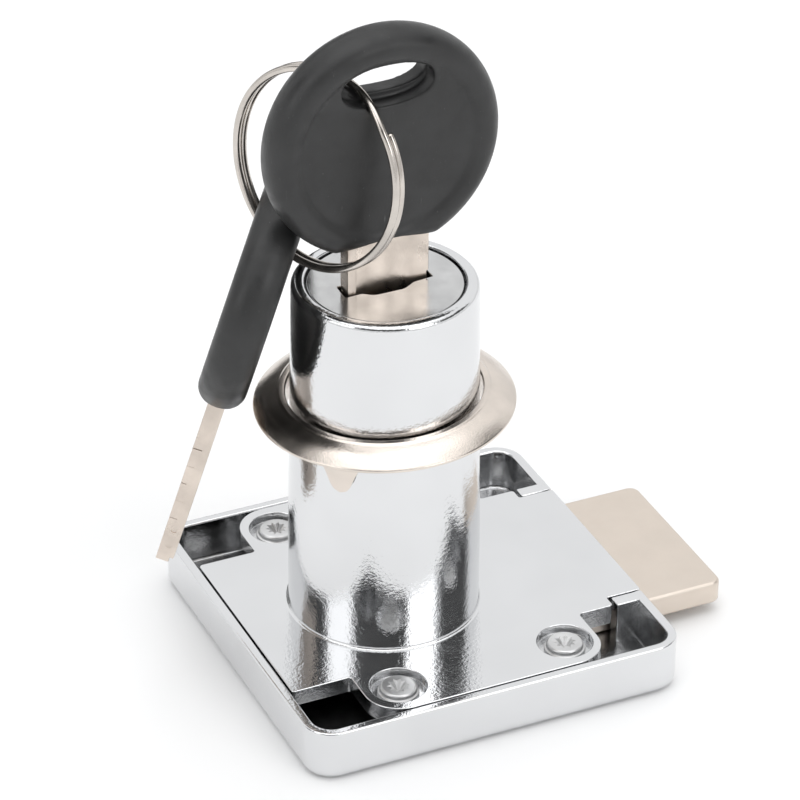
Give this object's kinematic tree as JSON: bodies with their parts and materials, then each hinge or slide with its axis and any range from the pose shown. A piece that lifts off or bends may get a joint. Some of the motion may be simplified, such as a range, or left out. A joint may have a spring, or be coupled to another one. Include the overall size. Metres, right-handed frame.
{
  "type": "drawer cam lock",
  "caption": "Surface-mounted drawer lock: square cast case, round barrel with trim ring, half-turn plug that throws a flat bolt, and two keys on a split ring.",
  "frame": {"origin": "on the barrel axis at the mounting face, which is the rim of the case", "axes": "+Z along the barrel towards the key, +X the way the bolt throws"},
  "size_m": [0.0562, 0.04, 0.0693],
  "materials": {
    "cast_chrome": "bright chrome plate over a die casting, slightly wavy",
    "screw_steel": "bright zinc-plated steel",
    "bolt_nickel": "satin nickel plate, faintly warm",
    "plug_zinc": "die-cast zinc",
    "cap_steel": "polished steel",
    "pin_steel": "plain steel",
    "wafer_brass": "stamped brass",
    "spring_steel": "bright spring wire",
    "trim_nickel": "satin nickel plate, warm",
    "key_nickel": "nickel plate with fine rolling marks",
    "key_plastic": "matte black moulded plastic",
    "ring_steel": "nickel-plated spring wire"
  },
  "bodies": {
    "lock_body": {"lock_case": "cast_chrome", "barrel_housing": "cast_chrome", "case_screws": "screw_steel"},
    "bolt": {"bolt": "bolt_nickel"},
    "plug": {"plug": "plug_zinc", "plug_face_cap": "cap_steel", "drive_pin": "pin_steel", "retaining_clip": "pin_steel", "wafer_spring_1": "spring_steel", "wafer_spring_2": "spring_steel", "wafer_spring_3": "spring_steel", "wafer_spring_4": "spring_steel", "wafer_spring_5": "spring_steel", "wafer_spring_6": "spring_steel"},
    "wafer_1": {"wafer_1": "wafer_brass"},
    "wafer_2": {"wafer_2": "wafer_brass"},
    "wafer_3": {"wafer_3": "wafer_brass"},
    "wafer_4": {"wafer_4": "wafer_brass"},
    "wafer_5": {"wafer_5": "wafer_brass"},
    "wafer_6": {"wafer_6": "wafer_brass"},
    "trim_ring": {"trim_ring": "trim_nickel"},
    "key_a": {"key_a_blade": "key_nickel", "key_a_head": "key_plastic"},
    "key_ring": {"split_ring": "ring_steel"},
    "key_b": {"key_b_blade": "key_nickel", "key_b_head": "key_plastic"}
  },
  "joints": [
    {"name": "plug_turn", "type": "hinge", "parent": "lock_body", "child": "plug", "pos_m": [0, 0, 0], "axis": [0, 0, 1], "range_deg": [0, 180]},
    {"name": "bolt_slide", "type": "slide", "parent": "lock_body", "child": "bolt", "axis": [1, 0, 0], "range_m": [-0.0096, 0]},
    {"name": "trim_ring_slide", "type": "slide", "parent": "lock_body", "child": "trim_ring", "axis": [0, 0, 1], "range_m": [-0.0168, 0]},
    {"name": "key_insert", "type": "slide", "parent": "plug", "child": "key_a", "axis": [0, 0, 1], "range_m": [0, 0.03]},
    {"name": "wafer_1_slide", "type": "slide", "parent": "plug", "child": "wafer_1", "axis": [-1, 0, 0], "range_m": [0, 0.0006]},
    {"name": "wafer_2_slide", "type": "slide", "parent": "plug", "child": "wafer_2", "axis": [1, 0, 0], "range_m": [0, 0.0006]},
    {"name": "wafer_3_slide", "type": "slide", "parent": "plug", "child": "wafer_3", "axis": [-1, 0, 0], "range_m": [0, 0.0006]},
    {"name": "wafer_4_slide", "type": "slide", "parent": "plug", "child": "wafer_4", "axis": [1, 0, 0], "range_m": [0, 0.0006]},
    {"name": "wafer_5_slide", "type": "slide", "parent": "plug", "child": "wafer_5", "axis": [-1, 0, 0], "range_m": [0, 0.0006]},
    {"name": "wafer_6_slide", "type": "slide", "parent": "plug", "child": "wafer_6", "axis": [1, 0, 0], "range_m": [0, 0.0006]},
    {"name": "ring_swing", "type": "hinge", "parent": "key_a", "child": "key_ring", "pos_m": [-0.00309, 0, 0.05731], "axis": [-0.4037, 0.8372, 0.3688], "range_deg": [0, 60]},
    {"name": "key_b_swing", "type": "hinge", "parent": "key_ring", "child": "key_b", "pos_m": [-0.00905, 0.00596, 0.0405], "axis": [-0.3636, 0.7971, 0.4821], "range_deg": [0, 8]}
  ],
  "couplings": [
    {"joint": "plug_turn", "follows": "bolt_slide", "rad_per_m": -327.25},
    {"joint": "wafer_1_slide", "follows": "key_insert", "ratio": 0.02},
    {"joint": "wafer_2_slide", "follows": "key_insert", "ratio": 0.02},
    {"joint": "wafer_3_slide", "follows": "key_insert", "ratio": 0.02},
    {"joint": "wafer_4_slide", "follows": "key_insert", "ratio": 0.02},
    {"joint": "wafer_5_slide", "follows": "key_insert", "ratio": 0.02},
    {"joint": "wafer_6_slide", "follows": "key_insert", "ratio": 0.02}
  ]
}
